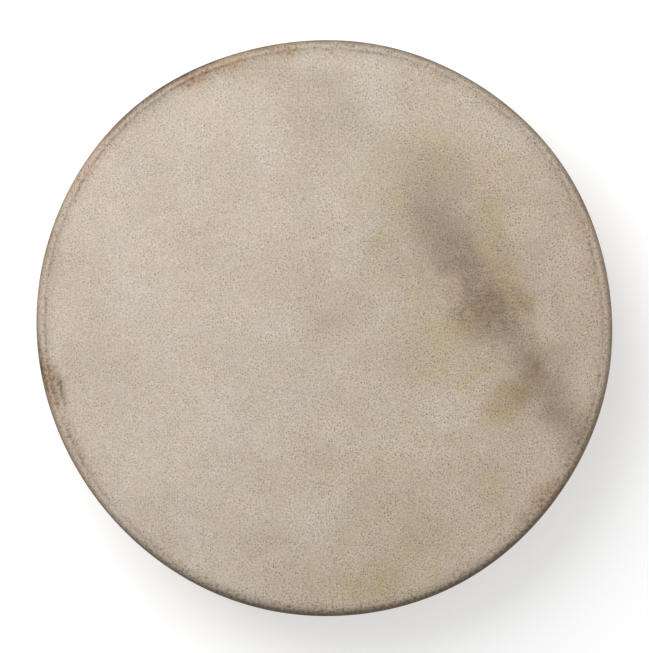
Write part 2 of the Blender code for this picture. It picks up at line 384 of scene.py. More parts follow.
class Finish:
    """A material whose Principled shader is fed by procedural patterns."""

    def __init__(self, name, roughness, specular=0.4):
        self.material = bpy.data.materials.new(name)
        self.material.use_nodes = True
        self.tree = self.material.node_tree
        self.shader = self.tree.nodes["Principled BSDF"]
        self.shader.inputs["Roughness"].default_value = roughness
        self.shader.inputs["Specular IOR Level"].default_value = specular

    def add(self, kind, settings, feeds, output=0):
        """Adds a node of this type: its settings first, then its sockets' values or links."""
        node = self.tree.nodes.new(kind)
        for name, value in settings.items():
            setattr(node, name, value)
        for name, value in feeds.items():
            self.feed(node.inputs[name], value)
        return Signal(self, node.outputs[output])

    def feed(self, socket, value):
        """Links a signal to a socket, or sets a plain value or colour on it."""
        if isinstance(value, Signal):
            self.tree.links.new(value.socket, socket)
        elif socket.type == "RGBA":
            socket.default_value = (*value, 1.0)
        else:
            socket.default_value = value

    def object_place(self):
        """Object coordinates, which are the drum's own."""
        return self.add("ShaderNodeTexCoord", {}, {}, "Object")

    def attribute(self, name, output):
        """One of the piece's own attributes."""
        return self.add("ShaderNodeAttribute", {"attribute_name": name}, {}, output)

    def parts(self, vector):
        """The three numbers of a vector."""
        split = self.add("ShaderNodeSeparateXYZ", {}, {0: vector})
        return split, Signal(self, split.socket.node.outputs[1]), Signal(self, split.socket.node.outputs[2])

    def angle(self, place):
        """The direction of a point from the drum's axis, in radians."""
        x, y, _ = self.parts(place)
        return x.math("ARCTAN2", y, x)

    def joined(self, x, y, z):
        """A vector of three numbers."""
        return self.add("ShaderNodeCombineXYZ", {}, {0: x, 1: y, 2: z})

    def vector(self, operation, *values, output=0):
        """The Vector Math node of that operation on these values."""
        return self.add("ShaderNodeVectorMath", {"operation": operation}, dict(enumerate(values)), output)

    def scaled(self, vector, scale):
        """A vector times one number."""
        return self.add("ShaderNodeVectorMath", {"operation": "SCALE"}, {0: vector, "Scale": scale})

    def noise(self, place, size, detail=2.0, rough=0.5, flat=True, output=0):
        """Uneven values about 0.5, with patches of about this size."""
        settings = {"noise_dimensions": "2D" if flat else "3D"}
        feeds = {"Vector": place, "Scale": 1.0 / size, "Detail": detail, "Roughness": rough}
        return self.add("ShaderNodeTexNoise", settings, feeds, output)

    def cells(self, place, size, output, flat=True):
        """Voronoi cells of about this size: the distance from each one's middle, or a colour for each."""
        settings = {"voronoi_dimensions": "2D" if flat else "3D", "feature": "F1"}
        feeds = {"Vector": place, "Scale": 1.0 / size, "Randomness": 0.92}
        return self.add("ShaderNodeTexVoronoi", settings, feeds, output)

    def towards(self, place, way, low, high):
        """0 to 1 as a place lies further along that way from the drum's middle."""
        return self.ramp(self.vector("DOT_PRODUCT", place, way, output="Value"), low, high)

    def ramp(self, value, low, high, bottom=0.0, top=1.0):
        """A soft change from bottom to top as the value goes from low to high."""
        feeds = {"Value": value, "From Min": low, "From Max": high, "To Min": bottom, "To Max": top}
        return self.add("ShaderNodeMapRange", {"interpolation_type": "SMOOTHSTEP"}, feeds)

    def mix(self, base, colour, amount):
        """A colour laid over another by this amount. Colours are mixed as vectors."""
        settings = {"data_type": "VECTOR", "clamp_factor": True}
        return self.add("ShaderNodeMix", settings, {0: amount, 4: base, 5: colour}, 1)

    def shade(self, base, level):
        """A colour made lighter or darker by a number about 1."""
        return self.scaled(base, level)

    def tinted_areas(self, place, shift, size):
        """Soft uneven areas of about this size, 0 to 1, elsewhere for each shift."""
        return self.ramp(self.noise(self.vector("ADD", place, shift), size, 3.0, 0.6), 0.46, 0.74)

    def spot(self, place, mark):
        """A soft oval: 1 in its middle and 0 at its edge.

        It is worked out in plain numbers. With a Mapping node for every mark the head's material is too big
        for Cycles and renders black.
        """
        turn = math.radians(mark.turn)
        middle = Vector((mark.x, mark.y, 0.0)) * MM
        long_way = Vector((math.cos(turn), math.sin(turn), 0.0)) / (mark.long * MM)
        wide_way = Vector((-math.sin(turn), math.cos(turn), 0.0)) / (mark.wide * MM)
        along = self.vector("DOT_PRODUCT", place, long_way, output="Value") - middle.dot(long_way)
        across = self.vector("DOT_PRODUCT", place, wide_way, output="Value") - middle.dot(wide_way)
        apart = along * along + across * across
        return self.ramp(apart.math("SQRT", apart), 1.0, 0.0)

    def marked(self, base, place, marks, patchy=None):
        """The base colour with these marks on it, broken up by the patchy number where one is given."""
        for mark in marks:
            amount = self.spot(place, mark) * mark.strength
            if patchy is not None:
                amount = amount * patchy
            base = self.mix(base, mark.colour, amount)
        return base

    def surface(self, colour, height, distance, strength=1.0):
        """Feeds the shader its colour and a bump of that height."""
        self.feed(self.shader.inputs["Base Color"], colour)
        bump = {"Strength": strength, "Distance": distance, "Height": height}
        self.feed(self.shader.inputs["Normal"], self.add("ShaderNodeBump", {}, bump))
        return self.material


class HideFinish(Finish):
    """The head's finish. Places are on the flat hide, and reach is how far they lie from its middle."""

    def __init__(self, settings):
        super().__init__("rawhide", roughness=0.62, specular=0.32)
        self.settings = settings
        self.place = self.attribute("hide_place", "Vector")
        self.flesh = self.attribute("flesh_side", "Fac")
        self.reach = self.vector("LENGTH", self.place, output="Value")
        ragged = self.noise(self.place, RAGGED_PATCH, 3.0, 0.6, output="Color")
        self.shift = self.vector("SUBTRACT", ragged, (0.5, 0.5, 0.5))
        self.warped = self.vector("ADD", self.place, self.scaled(self.shift, settings.stain_warp))
        self.slight = self.vector("ADD", self.place, self.scaled(self.shift, settings.stain_warp / 5))
        self.patches = self.noise(self.place, BROAD_PATCH, 4.0, 0.55)
        self.small_patches = self.noise(self.warped, SMALL_PATCH, 3.0, 0.55)
        self.grain = self.noise(self.place, GRAIN, 2.0, 0.6)

    def mottled(self):
        """Cream hide with broad marks, olive areas at the right and cool ones at the left."""
        settings = self.settings
        colour = self.mix(settings.pale_hide, settings.tan_hide, self.ramp(self.patches, 0.3, 0.7))
        colour = self.marked(colour, self.warped, BROAD_MARKS)
        rightward = self.towards(self.place, (1.0, -0.25, 0.0), -0.03, 0.10)
        olive = self.tinted_areas(self.warped, (0.31, 0.17, 0.0), 0.021)
        pink = self.tinted_areas(self.warped, (0.73, 0.52, 0.0), 0.026)
        cool = self.tinted_areas(self.warped, (0.12, 0.64, 0.0), 0.034)
        colour = self.mix(colour, settings.olive_tint, olive * (rightward * 0.46 + 0.05))
        colour = self.mix(colour, settings.pink_tint, pink * 0.38)
        return self.mix(colour, settings.cool_tint, cool * (0.36 - rightward * 0.30))

    def stained(self, colour):
        """Olive, pale and dark stains, with fine streaks in the long smear."""
        broken = self.noise(self.warped, BROKEN_PATCH, 3.0, 0.6)
        patchy = self.ramp(self.small_patches, 0.3, 0.7, 0.72, 1.2) * self.ramp(broken, 0.3, 0.7, 0.72, 1.25)
        colour = self.marked(colour, self.warped, OLIVE_MARKS, patchy)
        colour = self.marked(colour, self.warped, PALE_MARKS)
        colour = self.marked(colour, self.warped, DARK_MARKS, patchy)
        colour = self.shade(colour, self.ramp(self.small_patches, 0.2, 0.8, 0.97, 1.03))
        colour = self.shade(colour, self.ramp(broken, 0.25, 0.75, 0.955, 1.045))
        streak_place = self.vector("MULTIPLY", self.warped, (0.16, 1.0, 1.0))
        streaks = self.noise(streak_place, STREAK_WIDTH, 2.0, 0.6)
        streak_area = self.spot(self.warped, SMEAR)
        return self.shade(colour, 1.0 - (streaks - 0.5) * streak_area * 1.25)

    def rimmed(self, colour):
        """Handled band, painted shade on the shoulder, the outer edge and the crease, painted shade with some
        dirt at the lower right, a painted highlight on the ridge, rust and dirt flecks. The crease is given
        back too, for the relief.
        """
        settings = self.settings
        reach = self.reach
        # lower_right weights the painted shade and highlight on the rim by its side away from the key light
        lower_right = self.towards(self.place, (1.4, -4.6, 0.0), 0.25, 0.85)
        # below and above weight the painted shade along the outer edge, heaviest at the bottom
        below = self.towards(self.place, (-1.0, -4.8, 0.0), 0.1, 0.8)
        above = self.towards(self.place, (-1.5, 4.5, 0.0), 0.4, 0.8)
        uneven = self.noise(self.slight, RIM_PATCH, 3.0, 0.6)
        rim_end = self.ramp(reach + (uneven - 0.5) * 0.010, DRUM_RADIUS + 0.014, DRUM_RADIUS + 0.004)
        # Painted shade with some dirt: the rim darkens towards the lower right, the side away from the key
        # light
        grime_and_shade = self.ramp(reach, CREASE_RADIUS - 0.0022, DRUM_RADIUS - 0.0012) * lower_right * rim_end
        band = self.ramp(reach, CREASE_RADIUS - 0.007, CREASE_RADIUS + 0.002)
        colour = self.mix(colour, settings.handled_hide, band * self.ramp(uneven, 0.2, 0.8, 0.13, 0.31))
        # Painted shade: the shoulder is darkened where it turns down from the face
        shoulder = self.ramp(reach, CREASE_RADIUS + 0.0008, DRUM_RADIUS + 0.0016) * rim_end
        colour = self.mix(colour, settings.shaded_shoulder_hide, shoulder * self.ramp(uneven, 0.2, 0.8, 0.58, 0.95))
        worn = self.noise(self.slight, WORN_PATCH, 3.0, 0.65)
        # Painted shade: a dark line along the outer edge where the shoulder turns away, heaviest along the
        # bottom
        outermost = self.ramp(reach, DRUM_RADIUS - 0.0026, DRUM_RADIUS + 0.0004) * rim_end
        outermost = outermost * (below * 0.6 + above * 0.28 + 0.2) * self.ramp(worn, 0.3, 0.7, 0.75, 1.1)
        colour = self.mix(colour, settings.shade_and_fleck_hide, outermost)
        colour = self.mix(colour, settings.rim_shade_dirt_hide, grime_and_shade * self.ramp(worn, 0.3, 0.7, 0.55, 0.98))
        rust = self.ramp(uneven, 0.3, 0.7, 0.7, 1.25) * self.ramp(worn, 0.34, 0.66, 0.5, 1.3)
        colour = self.marked(colour, self.slight, RIM_MARKS, rust)
        crease_wander = (self.noise(self.place, 0.03, 2.0, 0.5) - 0.5) * 0.0022
        from_crease = abs(reach + crease_wander - CREASE_RADIUS + 0.0002)
        from_ridge = abs(reach + crease_wander - CREASE_RADIUS - 0.0023)
        # Painted highlight: a pale line on the ridge outside the crease, faint at the lower right
        ridge_highlight = self.ramp(from_ridge, 0.0014, 0.0003) * self.ramp(uneven, 0.3, 0.7, 0.4, 1.0)
        colour = self.mix(colour, settings.pale_hide, ridge_highlight * (0.42 - lower_right * 0.36))
        broken_line = self.ramp(self.noise(self.place, 0.016, 3.0, 0.6), 0.42, 0.64)
        # Painted shade in the crease, lighter at the lower right; the crease mask also sinks the relief
        crease = self.ramp(from_crease, 0.0012, 0.0002) * broken_line * (1.0 - lower_right * 0.8)
        soft_crease = self.ramp(from_crease, 0.0032, 0.0002) * self.ramp(worn, 0.3, 0.7, 0.4, 1.0)
        colour = self.mix(colour, settings.shade_and_fleck_hide, crease * 0.24 + soft_crease * 0.08)
        near_rim = self.ramp(reach, CREASE_RADIUS - 0.010, CREASE_RADIUS + 0.002)
        flecks = self.ramp(worn, 0.57, 0.68) * near_rim * (rim_end * 0.7 + 0.3)
        return self.mix(colour, settings.shade_and_fleck_hide, flecks * 0.55), crease

    def drawn_down(self, colour):
        """Yellower down the side, with soft pull lines towards the back. Gives the lines and the side too."""
        settings = self.settings
        side = self.ramp(self.reach, DRUM_RADIUS, DRUM_RADIUS + 0.012)
        round_hoop = self.scaled(self.vector("NORMALIZE", self.place), DRUM_RADIUS)
        drawn = self.vector("ADD", round_hoop, self.joined(0.0, 0.0, self.reach * 0.12))
        pulls = self.noise(drawn, PULL_PATCH, 3.0, 0.55, flat=False)
        colour = self.mix(colour, settings.side_hide, side * self.ramp(pulls, 0.3, 0.7, 0.25, 0.62))
        back = self.ramp(self.reach, DRUM_RADIUS + 0.050, DRUM_RADIUS + 0.080)
        colour = self.mix(colour, settings.handled_hide, back * self.ramp(pulls, 0.3, 0.7, 0.25, 0.75))
        drawn_in = self.ramp(self.reach, DRUM_RADIUS + 0.006, DRUM_RADIUS + 0.054)
        drawn_in = drawn_in * self.ramp(pulls, 0.48, 0.72)
        return self.mix(colour, settings.pull_hide, drawn_in * 0.36), pulls, side

    def haired(self, colour):
        """Crowded follicles, a pebbled surface and fine grain. Gives the dots and their halo too."""
        settings = self.settings
        dot_place = self.vector("ADD", self.place, self.scaled(self.shift, 0.002))
        distance = self.cells(dot_place, settings.follicle_spacing, "Distance")
        chance = self.cells(dot_place, settings.follicle_spacing, "Color")
        crowd = self.ramp(self.noise(self.warped, 0.013, 3.0, 0.6), 0.30, 0.62, 0.42, 1.0)
        crowd = crowd * (self.towards(self.place, (1.0, -0.3, 0.0), -0.12, 0.12) * 0.3 + 0.8)
        share, size, _ = self.parts(chance)
        bold = self.ramp(share, 0.1, 0.95, 0.30, 1.0)
        dots = self.ramp(distance, 0.19 + size * 0.20, 0.06) * bold * crowd
        halo = self.ramp(distance, 0.30, 0.55) * crowd
        colour = self.mix(colour, settings.follicle_tone, dots * settings.follicle_depth)
        colour = self.shade(colour, 0.97 + halo * 0.06)
        pebble = self.cells(self.vector("ADD", dot_place, (0.9, 0.4, 0.0)), PEBBLE, "Distance")
        colour = self.shade(colour, self.ramp(pebble, 0.08, 0.6, 0.895, 1.06))
        return self.shade(colour, self.ramp(self.grain, 0.25, 0.75, 0.92, 1.08)), dots, halo

    def fleshed(self, colour):
        """The flesh side: paler, dry and fibrous."""
        settings = self.settings
        fibres = self.noise(self.vector("MULTIPLY", self.warped, (1.0, 0.2, 1.0)), FIBRE_WIDTH, 3.0, 0.65)
        inside = self.mix(settings.flesh_hide, settings.tan_hide, self.ramp(fibres, 0.35, 0.7) * 0.6)
        return self.mix(colour, inside, self.flesh)


def rawhide(settings):
    """The head's material: mottled and stained cream hide with a dark rim, pull lines and hair follicles."""
    finish = HideFinish(settings)
    colour = finish.stained(finish.mottled())
    colour, crease = finish.rimmed(colour)
    colour, pulls, side = finish.drawn_down(colour)
    colour, dots, halo = finish.haired(colour)
    colour = finish.fleshed(colour)
    height = finish.grain * 0.22 + halo * 0.10 - dots * 0.75 + finish.small_patches * 0.5
    height = height - crease * 0.3 + pulls * side * 1.6
    rough = finish.ramp(finish.patches, 0.3, 0.7, 0.56, 0.68) + finish.flesh * 0.15
    finish.feed(finish.shader.inputs["Roughness"], rough)
    return finish.surface(colour, height, 0.0003, 0.7)


def lace_rawhide(settings):
    """The lace's finish: amber hide with paler cut edges and streaks along its length."""
    finish = Finish("lace_rawhide", roughness=0.5, specular=0.45)
    along = finish.attribute("lace_place", "Vector")
    edge = finish.attribute("lace_edge", "Fac")
    streaks = finish.noise(finish.vector("MULTIPLY", along, (0.06, 1.0, 1.0)), 0.0012, 3.0, 0.6, flat=False)
    patches = finish.noise(finish.object_place(), 0.02, 3.0, 0.55, flat=False)
    colour = finish.mix(settings.pale_lace, settings.dark_lace, finish.ramp(patches, 0.32, 0.68))
    colour = finish.mix(colour, settings.dark_lace, finish.ramp(streaks, 0.45, 0.7) * 0.5)
    colour = finish.mix(colour, settings.cut_lace, finish.ramp(edge, 0.35, 1.0) * 0.55)
    fine = finish.noise(finish.object_place(), 0.0008, 2.0, 0.6, flat=False)
    colour = finish.shade(colour, finish.ramp(fine, 0.25, 0.75, 0.92, 1.06))
    finish.feed(finish.shader.inputs["Roughness"], finish.ramp(patches, 0.3, 0.7, 0.42, 0.6))
    return finish.surface(colour, streaks * 0.7 + fine * 0.4, 0.0003, 0.7)


def wood(name, pale, dark, roughness, radius, joint_width):
    """Bent wood: grain that runs round the ring, pores, and a dark glue line where its ends meet."""
    finish = Finish(name, roughness=roughness, specular=0.4)
    place = finish.object_place()
    x, y, z = finish.parts(place)
    turn = finish.angle(place)
    out = finish.vector("LENGTH", finish.joined(x, y, 0.0), output="Value")
    unrolled = finish.joined(turn * radius, z, out)
    long_grain = finish.vector("MULTIPLY", unrolled, (0.035, 1.0, 1.0))
    bend = finish.noise(finish.vector("MULTIPLY", unrolled, (0.25, 1.0, 1.0)), 0.03, 2.0, 0.5, flat=False)
    phase = z * 330.0 + out * 240.0 + bend * 5.0
    rings = finish.ramp(phase.math("SINE", phase), -1.0, 1.0)
    fibres = finish.noise(long_grain, 0.0007, 3.0, 0.65, flat=False)
    patches = finish.noise(unrolled, 0.05, 3.0, 0.5, flat=False)
    colour = finish.mix(pale, dark, rings * 0.45 + finish.ramp(patches, 0.3, 0.7) * 0.25)
    pores = finish.ramp(fibres, 0.60, 0.72)
    colour = finish.mix(colour, finish.scaled(colour, 0.45), pores * 0.7)
    colour = finish.shade(colour, finish.ramp(fibres, 0.3, 0.7, 0.92, 1.06))
    ends_meet = finish.ramp(abs(math.pi - abs(turn)) * radius, joint_width, joint_width / 3)
    colour = finish.mix(colour, finish.scaled(colour, 0.22), ends_meet)
    rough = finish.ramp(fibres, 0.3, 0.7, roughness - 0.06, roughness + 0.08)
    finish.feed(finish.shader.inputs["Roughness"], rough)
    return finish.surface(colour, fibres * 0.6 - pores * 0.8 - ends_meet * 1.0, 0.0003, 0.6)


def floor_finish(settings):
    """A plain pale floor with a very faint unevenness."""
    finish = Finish("pale_floor", roughness=0.85, specular=0.1)
    cloud = finish.noise(finish.object_place(), 0.6, 2.0, 0.5, flat=False)
    colour = finish.mix(settings.floor_colour, settings.floor_shade, finish.ramp(cloud, 0.3, 0.7) * 0.25)
    finish.feed(finish.shader.inputs["Base Color"], colour)
    finish.feed(finish.shader.inputs["Emission Color"], (1.0, 1.0, 1.0))
    finish.feed(finish.shader.inputs["Emission Strength"], settings.floor_glow)
    return finish.material


# Head


def face_rings():
    """The head's face from the middle out to the crease, then the crease's small dip."""
    face = DRUM_DEPTH - CREASE_STEP
    inside = CREASE_RADIUS - 1.6 * MM
    rings = max(2, round(inside / FACE_RING_WIDTH))
    points = line((0.0, face), (inside, face), rings)
    dip = ((-1.6, 0.0), (-1.2, 0.0), (-0.8, -0.02), (-0.4, -0.07))
    dip += ((0.0, -0.04), (0.4, 0.08), (0.8, 0.2), (1.3, 0.34))
    points += [(CREASE_RADIUS + out * MM, face + up * MM) for out, up in dip]
    return points


def flap_rings():
    """The flap from the resting back edge up to its level stretch and in to the tabs' edge, outer side."""
    rise = 9
    points = [(BACK_SEAT_RADIUS + 2.2 * MM, 0.0), (BACK_SEAT_RADIUS, 0.0)]
    for step in range(1, rise + 1):
        share = step / rise
        height = FLAP_BOTTOM * smoothstep(0.0, 1.0, share)
        points.append((BACK_SEAT_RADIUS - FLAP_RISE_RUN * share, height))
    rings = round((FLAP_LEVEL_RADIUS - TAB_RADIUS) / FLAP_RING_WIDTH)
    points += [(FLAP_LEVEL_RADIUS - FLAP_RING_WIDTH * ring, FLAP_BOTTOM) for ring in range(1, rings + 1)]
    return points


def hide_path():
    """The hide's outer side from the middle of its face to the flap's edge, as points (radius, height)."""
    shoulder = (DRUM_RADIUS - SHOULDER_RADIUS, DRUM_DEPTH - SHOULDER_RADIUS)
    back_edge = (DRUM_RADIUS - BACK_EDGE_RADIUS, BACK_EDGE_RADIUS)
    path = face_rings()
    path += arc(shoulder, SHOULDER_RADIUS, 90.0, 0.0, 10)
    path += line((DRUM_RADIUS, shoulder[1]), (DRUM_RADIUS, BACK_EDGE_RADIUS), 14)[1:]
    path += arc(back_edge, BACK_EDGE_RADIUS, 0.0, -90.0, 7)
    return path + flap_rings()


def path_stations(path):
    """For each point of the path: itself, the point one thickness inside it and its reach along the hide."""
    stations = []
    reach = 0.0
    for index, point in enumerate(path):
        before = path[max(0, index - 1)]
        after = path[min(len(path) - 1, index + 1)]
        run = Vector((after[0] - before[0], after[1] - before[1])).normalized()
        outward = Vector((-run.y, run.x))
        inner = (max(0.0, point[0] - outward.x * HIDE_THICKNESS), point[1] - outward.y * HIDE_THICKNESS)
        if index == 0:
            inner = (0.0, point[1] - HIDE_THICKNESS)
        else:
            reach += math.dist(point, before)
        stations.append((point, inner, reach))
    return stations


def cut_slits(mesh, reach_of):
    """Opens a lace slit through each tab: a patch of quads goes from both sides and its rims are joined."""
    half = 2
    step_angle = math.tau / HIDE_STEPS
    for slit in range(LACE_SLITS):
        angle = math.tau * slit / LACE_SLITS
        middle = hub_point(SLIT_RADIUS, angle, 0.0)

        def offsets(point):
            """Columns and rows of quads from the slit's middle."""
            turn = math.atan2(point.y, point.x) - angle
            turn = (turn + math.pi) % math.tau - math.pi
            return turn / step_angle, (math.hypot(point.x, point.y) - SLIT_RADIUS) / FLAP_RING_WIDTH

        near = [
            face
            for face in mesh.faces
            if face.calc_center_median().z < FLAP_TOP + MM
            and (face.calc_center_median().xy - middle.xy).length < 9 * MM
            and all(abs(offset) < half for offset in offsets(face.calc_center_median()))
        ]
        rims = {
            corner
            for face in near
            for corner in face.verts
            if max(abs(offset) for offset in offsets(corner.co)) > half - 0.5
        }
        bmesh.ops.delete(mesh, geom=near, context="FACES")
        for corner in rims:
            columns, rows = offsets(corner.co)
            around = math.atan2(rows, columns)
            radius = SLIT_RADIUS + 1.75 * MM * math.sin(around)
            turn = angle + 2.75 * MM * math.cos(around) / SLIT_RADIUS
            corner[reach_of] -= radius - math.hypot(corner.co.x, corner.co.y)
            corner.co = hub_point(radius, turn, corner.co.z)
        borders = list({edge for corner in rims for edge in corner.link_edges if edge.is_boundary})
        bmesh.ops.bridge_loops(mesh, edges=borders)


def hide_relief(point, reach, settings):
    """Where a point of the true round hide goes on the real one, with its crease, tucks and curl."""
    angle = math.atan2(point.y, point.x)
    radius = math.hypot(point.x, point.y)
    height = point.z
    between_slits = abs(math.sin(LACE_SLITS * angle / 2))
    slit_phase = between_slits**2
    near_crease = math.exp(-(((reach - CREASE_RADIUS) / (3.0 * MM)) ** 2))
    radius += near_crease * 0.35 * MM * wander(angle, 22, 3.1)
    on_face = smoothstep(CREASE_RADIUS, CREASE_RADIUS - 0.02, reach) if reach < CREASE_RADIUS else 0.0
    lie = noise.fractal(Vector((point.x, point.y, 7.0)) * 14.0, 1.0, 2.0, 2)
    height += on_face * settings.face_unevenness * lie

    shoulder_end = DRUM_RADIUS + 3.0 * MM
    side_end = shoulder_end + DRUM_DEPTH - SHOULDER_RADIUS - BACK_EDGE_RADIUS
    down_side = smoothstep(shoulder_end, side_end, reach)
    on_flap = smoothstep(side_end + 8 * MM, side_end + 22 * MM, reach)
    tucks = 0.6 * between_slits**0.7 + 0.4 * max(0.0, wander(angle, 46, 9.4, 3))
    tucks *= down_side**1.4 * (1.0 - on_flap)
    soft_side = max(0.0, wander(angle, 14, 5.5, 3)) * smoothstep(shoulder_end, shoulder_end + 0.02, reach)
    radius += tucks * settings.tuck_depth + soft_side * (1.0 - on_flap) * 0.12 * MM

    if on_flap > 0.0:
        share = min(1.0, max(0.0, (FLAP_LEVEL_RADIUS - radius) / (FLAP_LEVEL_RADIUS - TAB_RADIUS)))
        uneven_edge = 0.8 * MM * wander(angle, 60, 12.0, 3)
        radius += share**2 * (SCALLOP_DEPTH * slit_phase + uneven_edge)
        curl = slit_phase * (0.8 + 0.5 * wander(angle, 30, 15.0))
        height += share**1.5 * settings.flap_curl * max(0.0, curl)
        height += on_flap * 0.25 * MM * max(0.0, wander(angle, 90, 21.0)) * slit_phase
    return rim_point(radius, angle, height)


def make_head(settings):
    """The rawhide as one closed shell: face, crease, shoulder, side, back edge and slit flap."""
    stations = path_stations(hide_path())
    outer = [station[0] for station in stations]
    inner = [station[1] for station in reversed(stations)]
    mesh = turned(outer + inner, closed=False, steps=HIDE_STEPS)

    tree = kdtree.KDTree(2 * len(stations))
    for index, (outside, inside, reach) in enumerate(stations):
        tree.insert((outside[0], 0.0, outside[1]), index)
        tree.insert((inside[0], 0.0, inside[1]), index + len(stations))
    tree.balance()
    reach_of = mesh.verts.layers.float.new("reach")
    flesh_of = mesh.verts.layers.float.new("flesh_side")
    for corner in mesh.verts:
        _, index, _ = tree.find((math.hypot(corner.co.x, corner.co.y), 0.0, corner.co.z))
        corner[reach_of] = stations[index % len(stations)][2]
        corner[flesh_of] = float(index >= len(stations))

    cut_slits(mesh, reach_of)
    place_of = mesh.verts.layers.float_vector.new("hide_place")
    for corner in mesh.verts:
        angle = math.atan2(corner.co.y, corner.co.x)
        corner[place_of] = hub_point(corner[reach_of], angle, 0.0)
        corner.co = hide_relief(corner.co, corner[reach_of], settings)
    return finished("rawhide_head", mesh, rawhide(settings), ["drumhead"])


# Hoop and grip ring


def make_hoop(settings):
    """The bent hoop under the hide, with softened edges and a bevel inside its bearing edge."""
    round_over = SHOULDER_RADIUS - HIDE_THICKNESS - TOUCH_GAP
    back_round = BACK_EDGE_RADIUS - HIDE_THICKNESS - TOUCH_GAP
    profile = arc((HOOP_RADIUS - back_round, HOOP_BOTTOM + back_round), back_round, -90.0, 0.0, 5)
    profile += arc((HOOP_RADIUS - round_over, HOOP_TOP - round_over), round_over, 0.0, 90.0, 7)
    profile += [
        (CREASE_RADIUS, HOOP_TOP),
        (HOOP_INNER_RADIUS, HOOP_TOP - BEARING_BEVEL),
        (HOOP_INNER_RADIUS, HOOP_BOTTOM + BACK_CHAMFER),
        (HOOP_INNER_RADIUS + BACK_CHAMFER, HOOP_BOTTOM),
    ]
    mesh = turned(profile, closed=True, steps=WOOD_STEPS)
    inner_corners = [
        edge
        for edge in mesh.edges
        if all(math.hypot(corner.co.x, corner.co.y) < CREASE_RADIUS + TOUCH_GAP for corner in edge.verts)
        and abs(edge.verts[0].co.z - edge.verts[1].co.z) < 1e-6
    ]
    bmesh.ops.bevel(
        mesh,
        geom=inner_corners,
        offset=0.7 * MM,
        affect="EDGES",
        segments=2,
        profile=0.5,
        material=-1,
    )
    for corner in mesh.verts:
        angle = math.atan2(corner.co.y, corner.co.x)
        radius = math.hypot(corner.co.x, corner.co.y)
        inside = smoothstep(CREASE_RADIUS, HOOP_INNER_RADIUS, radius) if radius < CREASE_RADIUS else 0.0
        shaved = inside * settings.hoop_unevenness * (1.0 + wander(angle, 24, 31.0))
        corner.co = rim_point(radius + shaved, angle, corner.co.z)
    material = wood("bent_wood", settings.pale_wood, settings.dark_wood, 0.5, HOOP_RADIUS, 0.9 * MM)
    return finished("bent_hoop", mesh, material, ["hoop"])


def make_ring(settings):
    """The grip ring: round wood whittled by hand, so its section and its facets waver a little."""
    profile = arc((RING_RADIUS, RING_HEIGHT), RING_SECTION, 0.0, 360.0, 24)[:-1]
    mesh = turned(profile, closed=True, steps=144)
    for corner in mesh.verts:
        angle = math.atan2(corner.co.y, corner.co.x)
        middle = hub_point(RING_RADIUS, angle, RING_HEIGHT)
        spoke = corner.co - middle
        around = math.atan2(spoke.z, spoke.xy.length * (1 if spoke.dot(middle) > 0 else -1))
        whittled = abs(wander(angle + around * 0.4, 26, 40.0 + round(around * 2)))
        corner.co = middle + spoke * (1.0 - settings.ring_whittling * whittled)
    material = wood("grip_wood", settings.pale_grip, settings.dark_grip, 0.42, RING_RADIUS, 0.25 * MM)
    return finished("wooden_grip", mesh, material, ["grip_ring"])


# Lacing


def slit_turn(angle, steps):
    """The lace going down through a slit round the flap's lip: (centre, outward normal, width direction)."""
    lip = SLIT_RADIUS - LACE_TURN_RADIUS
    stations = []
    for height, start, end in ((FLAP_TOP, 90.0, 0.0), (FLAP_BOTTOM, 0.0, -90.0)):
        for step in range(steps + 1):
            turn = math.radians(start + (end - start) * step / steps)
            radius = lip + LACE_TURN_RADIUS * math.cos(turn)
            centre = rim_point(radius, angle, height + LACE_TURN_RADIUS * math.sin(turn))
            stations.append((centre, hub_point(math.cos(turn), angle, math.sin(turn)), tangent(angle)))
    return stations


def ring_turn(angle, leaving, steps):
    """The lace passing under the grip ring, up its inside and out over the top, leaving at that slope."""
    stations = []
    for step in range(steps + 1):
        turn = math.radians(-90.0) - (math.pi - leaving) * step / steps
        radius = RING_RADIUS + RING_TURN_RADIUS * math.cos(turn)
        centre = hub_point(radius, angle, RING_HEIGHT + RING_TURN_RADIUS * math.sin(turn))
        stations.append((centre, hub_point(math.cos(turn), angle, math.sin(turn)), tangent(angle)))
    return stations


def leg(first, last, steps, seed, twist):
    """Stations along a tight leg between two turns, its faces turning from the one's to the other's."""
    stations = []
    run = (last[0] - first[0]).normalized()
    for step in range(1, steps):
        share = step / steps
        width = first[2].lerp(last[2], share)
        width = (width - run * width.dot(run)).normalized()
        normal = first[1].lerp(last[1], share)
        normal = (normal - run * normal.dot(run)).normalized()
        slack = math.sin(math.pi * share)
        turn = Matrix.Rotation(twist * slack * noise.noise(Vector((share * 2.5, seed, 0.0))), 3, run)
        side = width * (0.5 * MM * slack * noise.noise(Vector((share * 3.0, seed, 9.0))))
        stations.append((first[0].lerp(last[0], share) + side, turn @ normal, turn @ width))
    return stations


def lace_route(settings):
    """Every station of the lace: down through a slit, back under it, round the ring and on, 16 times."""
    step = math.tau / LACE_SLITS
    drop = UPPER_LEG_HEIGHT - (RING_HEIGHT + RING_TURN_RADIUS)
    leaving = math.atan2(-drop, SLIT_RADIUS - LACE_TURN_RADIUS - RING_RADIUS)
    route = []
    for slit in range(LACE_SLITS):
        here = slit_turn(step * slit, 5)
        ring = ring_turn(step * (slit + 0.5), leaving, 14)
        following = slit_turn(step * (slit + 1), 5)
        route += here
        route += leg(here[-1], ring[0], 24, slit * 2.7 + 0.4, settings.lace_twist)
        route += ring
        route += leg(ring[-1], following[0], 24, slit * 3.9 + 50.1, settings.lace_twist)
    return route


